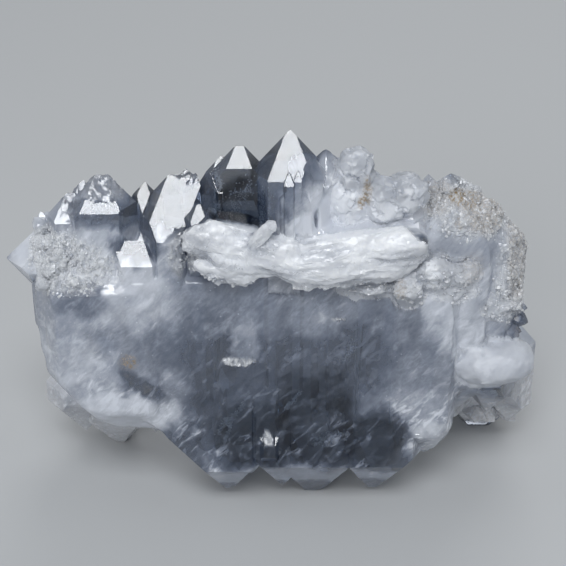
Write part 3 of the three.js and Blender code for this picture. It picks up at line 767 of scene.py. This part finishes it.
# A crust of `count` crystals: their radii in mm, how much wider and taller than that they are, and how
# many degrees they turn from the plate's own orientation.
Crust = namedtuple("Crust", "name zones count radius widen tall turn seed")
CRUSTS = [
    Crust("druse_left", DRUSE_LEFT_ZONES, 1900, (0.06, 0.2), (0.7, 1.4), (0.6, 1.3), 14, 51),
    Crust("druse_right", DRUSE_RIGHT_ZONES, 1900, (0.06, 0.27), (0.7, 1.4), (0.6, 1.3), 16, 52),
    Crust("ridge_crystals", RIM_ZONES + CHUNK_ZONES, 500, (0.06, 0.24), (0.8, 1.6), (0.6, 1.3), 14, 53),
]


def spins(angles):
    """Rotation matrices from rows of turns about x, y and z, in degrees."""
    x, y, z = np.radians(angles).T
    zero, one = np.zeros_like(x), np.ones_like(x)
    about_x = np.array([[one, zero, zero], [zero, np.cos(x), -np.sin(x)], [zero, np.sin(x), np.cos(x)]])
    about_y = np.array([[np.cos(y), zero, np.sin(y)], [zero, one, zero], [-np.sin(y), zero, np.cos(y)]])
    about_z = np.array([[np.cos(z), -np.sin(z), zero], [np.sin(z), np.cos(z), zero], [zero, zero, one]])
    return np.einsum("ijn,jkn,kln->nil", about_x, about_y, about_z)


def crystal_template():
    """A six-sided prism with a pyramid at its upper end, of radius 1, pointing along +y."""
    angles = np.radians(30 + 60 * np.arange(6))
    ring = np.stack([np.sin(angles), 0 * angles, np.cos(angles)], 1)
    points = np.vstack([ring - (0, 1, 0), ring, ((0, TIP_RISE, 0),)])
    tip = len(points) - 1
    faces = []
    for i in range(6):
        j = (i + 1) % 6
        faces += [(i, j, 6 + j), (i, 6 + j, 6 + i), (6 + i, 6 + j, tip)]
    faces += [(0, i + 1, i) for i in range(1, 5)]
    return points, np.array(faces)


def small_crystals(roots, radii, stretch, turns):
    """Crystals in the plate's orientation, each widened by `stretch` and turned a little, as one mesh."""
    template, faces = crystal_template()
    points = template[None] * (radii[:, None] * stretch)[:, None]
    points = np.einsum("nij,nkj->nki", spins(turns), points) + roots[:, None]
    triangles = faces[None] + len(template) * np.arange(len(roots))[:, None, None]
    return points.reshape(-1, 3), triangles.reshape(-1, 3)


def scattered(points, triangles, zones, count, random):
    """Random places on the skin, more of them further inside the zones, with their normals."""
    a, b, c = (points[triangles[:, i]] for i in range(3))
    normal = np.cross(b - a, c - a)
    area = np.linalg.norm(normal, axis=1)
    chance = area * mask((a + b + c) / 3, zones)
    chosen = random.choice(len(triangles), count, p=chance / chance.sum())
    u, v = random.uniform(size=(2, count))
    u, v = np.where(u + v > 1, 1 - u, u), np.where(u + v > 1, 1 - v, v)
    place = a[chosen] + u[:, None] * (b - a)[chosen] + v[:, None] * (c - a)[chosen]
    return place, normal[chosen] / np.maximum(area[chosen], 1e-9)[:, None]


def make_crust(crust, skin, material):
    """Small crystals over part of the skin, partly sunk into it."""
    random = np.random.default_rng(crust.seed)
    count = crust.count
    place, normal = scattered(*skin, crust.zones, count, random)
    smallest, largest = crust.radius
    radii = smallest + (largest - smallest) * random.uniform(size=count) ** 2
    roots = place - normal * (random.uniform(*SUNK, count) * radii)[:, None]
    widen, tall = random.uniform(*crust.widen, count), random.uniform(*crust.tall, count)
    stretch = np.stack([widen, tall, np.ones(count)], 1)
    turns = crust.turn * random.normal(size=(count, 3))
    points, triangles = small_crystals(roots, radii, stretch, turns)
    corners = len(points) // count
    made = mesh_object(crust.name, points, triangles, material, sharp=1)
    paint(
        made,
        milk=np.repeat(random.uniform(0.7, 1.0, count), corners),
        frost=np.repeat(random.uniform(0.6, 1.0, count), corners),
        matte=np.zeros(len(points)),
        # no painted dark tint on the small crystals
        deep=np.zeros(len(points)),
        stain=mask(points, STAIN_ZONES),
    )
    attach(made, "root")


# ---------------------------------------------------------------- what is sealed in the clear quartz
# Healed cracks: each is a wisp of specks about the line from `start` to `end`, `wide` mm across.
Wisp = namedtuple("Wisp", "start end wide count")
WISPS = [
    Wisp((-7.6, 8.8, 1.4), (-4.4, 12.6, 1.4), 0.18, 400),
    Wisp((-7.5, 5.4, 1.4), (-5.8, 10.4, 1.4), 0.12, 300),
    Wisp((0.2, 11.6, 1.4), (1.9, 13.8, 1.4), 0.15, 250),
    Wisp((0.6, 17.9, 1.4), (1.9, 19.6, 1.4), 0.15, 150),
    Wisp((3.0, 7.2, 1.2), (6.8, 8.6, 1.2), 0.35, 250),
    Wisp((6.4, 18.2, 1.4), (7.8, 21.0, 1.4), 0.25, 250),
    Wisp((-7.0, 41.0, 0.2), (-6.6, 34.8, 0.6), 0.15, 260),
    Wisp((-6.0, 34.6, 0.2), (-3.4, 39.2, 0.2), 0.8, 200),
    Wisp((-2.4, 33.0, 1.4), (-1.4, 38.6, 1.4), 0.4, 300),
    Wisp((-20.0, 35.0, 0.2), (-17.5, 38.0, -0.4), 0.6, 350),
]
WISP_BEND = 0.5  # mm, how far a wisp strays from its line
WISP_DEPTH = 0.5  # mm, how far a wisp reaches in depth
SPECK_SIZE = (0.03, 0.085)  # mm
SKIN_GAP = 0.2  # mm, how far the specks stay under the skin
VEIL_SEED = 61
TETRAHEDRON = np.array(((1, 1, 1), (1, -1, -1), (-1, 1, -1), (-1, -1, 1)), float)
TETRAHEDRON_FACES = np.array(((0, 1, 2), (0, 3, 1), (0, 2, 3), (1, 3, 2)))


def wisp_specks(wisp, random):
    """The places of one healed crack's specks, closer together towards its middle."""
    start, end = np.array(wisp.start), np.array(wisp.end)
    way = random.beta(1.6, 1.6, wisp.count)[:, None]
    places = start + way * (end - start)
    places[:, :2] += WISP_BEND * np.stack([fractal(places, 2.0, 3, 5.0), fractal(places, 2.0, 3, 8.0)], 1)
    thick = fractal(places + random.normal(size=places.shape) * 0.2, 0.8, 2, 3.0)
    reach = (wisp.wide, wisp.wide, WISP_DEPTH) * (0.5 + np.abs(thick))[:, None]
    places += random.normal(size=places.shape) * reach
    return places


def make_veils(skin, material):
    """The specks of all the wisps that lie well inside the skin."""
    random = np.random.default_rng(VEIL_SEED)
    tree = BVHTree.FromPolygons(skin[0].tolist(), skin[1].tolist())
    kept = []
    for p in np.vstack([wisp_specks(wisp, random) for wisp in WISPS]):
        place, normal, _, reach = tree.find_nearest(p)
        if (Vector(p) - place).dot(normal) < 0 and reach > SKIN_GAP:
            kept.append(p)
    places = np.array(kept)
    size = random.uniform(*SPECK_SIZE, len(places))
    turn = np.linalg.qr(random.normal(size=(len(places), 3, 3)))[0]
    turn *= np.sign(np.linalg.det(turn))[:, None, None]
    points = places[:, None] + size[:, None, None] * (TETRAHEDRON @ turn)
    triangles = TETRAHEDRON_FACES[None] + 4 * np.arange(len(places))[:, None, None]
    made = mesh_object("veils", points.reshape(-1, 3), triangles.reshape(-1, 3), material)
    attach(made, "root")


# ---------------------------------------------------------------- the room
FLOOR_COLOUR = (0.42, 0.43, 0.44, 1)
FLOOR_ROUGHNESS = 0.7
FLOOR_SIZE = 6  # m
SKY_COLOUR, SKY_STRENGTH = (0.9, 0.95, 1, 1), 0.3
LAMP_TARGET = Vector((0, 0, 22 * MM))  # the cluster's middle

# Rectangular lamps that look at the cluster. Azimuth 0 is the front and 90 its right, in degrees. The
# distance, width and height are in metres.
Lamp = namedtuple("Lamp", "name azimuth elevation distance width height radiance colour",
                  defaults=((1, 1, 1),))
LAMPS = [
    Lamp("key", -3.4, 60, 0.6, 0.28, 0.17, 14, (0.96, 0.98, 1)),
    Lamp("front", -24, 32, 0.8, 0.4, 0.3, 4.0),
    Lamp("back", 160, 40, 0.8, 0.5, 0.4, 2.5),
    Lamp("left", -95, 25, 0.8, 0.4, 0.4, 1.2),
    Lamp("right", 85, 25, 0.8, 0.4, 0.4, 1.2),
]


def floor_material():
    material = bpy.data.materials.new("floor")
    material.use_nodes = True
    n = Nodes(material)
    shader = n.add("ShaderNodeBsdfPrincipled", {
        "Base Color": FLOOR_COLOUR, "Roughness": FLOOR_ROUGHNESS,
    })
    n.add("ShaderNodeOutputMaterial", {"Surface": shader.outputs[0]})
    return material


def make_floor():
    bpy.ops.mesh.primitive_plane_add(size=FLOOR_SIZE, location=(0, 0, 0))
    floor = bpy.context.object
    floor.name = "floor"
    floor.data.materials.append(floor_material())


def make_lamp(lamp):
    around, up = math.radians(lamp.azimuth), math.radians(lamp.elevation)
    away = Vector((math.sin(around) * math.cos(up), -math.cos(around) * math.cos(up), math.sin(up)))
    light = bpy.data.lights.new(lamp.name, "AREA")
    light.shape = "RECTANGLE"
    light.size = lamp.width
    light.size_y = lamp.height
    light.energy = lamp.radiance * math.pi * lamp.width * lamp.height
    light.color = lamp.colour
    made = bpy.data.objects.new(lamp.name, light)
    made.location = LAMP_TARGET + away * lamp.distance
    made.rotation_euler = away.to_track_quat("Z", "Y").to_euler()
    bpy.context.scene.collection.objects.link(made)


def light_room():
    world = bpy.data.worlds.new("studio")
    bpy.context.scene.world = world
    world.use_nodes = True
    sky = world.node_tree.nodes["Background"]
    sky.inputs["Color"].default_value = SKY_COLOUR
    sky.inputs["Strength"].default_value = SKY_STRENGTH
    for lamp in LAMPS:
        make_lamp(lamp)
    bpy.context.scene.view_settings.view_transform = "Standard"


CAMERA_PLACE = (0.257, -128.99, 119.53)  # mm
CAMERA_ELEVATION = 36  # degrees that the camera looks down
FOCAL_LENGTH = 89.2  # mm on a 36 mm sensor
NEAREST_SEEN = 0.01  # m


def make_camera():
    camera = bpy.data.cameras.new("camera")
    camera.lens = FOCAL_LENGTH
    camera.clip_start = NEAREST_SEEN
    made = bpy.data.objects.new("camera", camera)
    made.location = Vector(CAMERA_PLACE) * MM
    made.rotation_euler = (math.radians(90 - CAMERA_ELEVATION), 0, 0)
    bpy.context.scene.collection.objects.link(made)
    bpy.context.scene.camera = made


make_camera()
quartz = quartz_material()
skin = make_cluster(quartz)
for crust in CRUSTS:
    make_crust(crust, skin, quartz)
make_veils(skin, veil_material())
make_floor()
light_room()
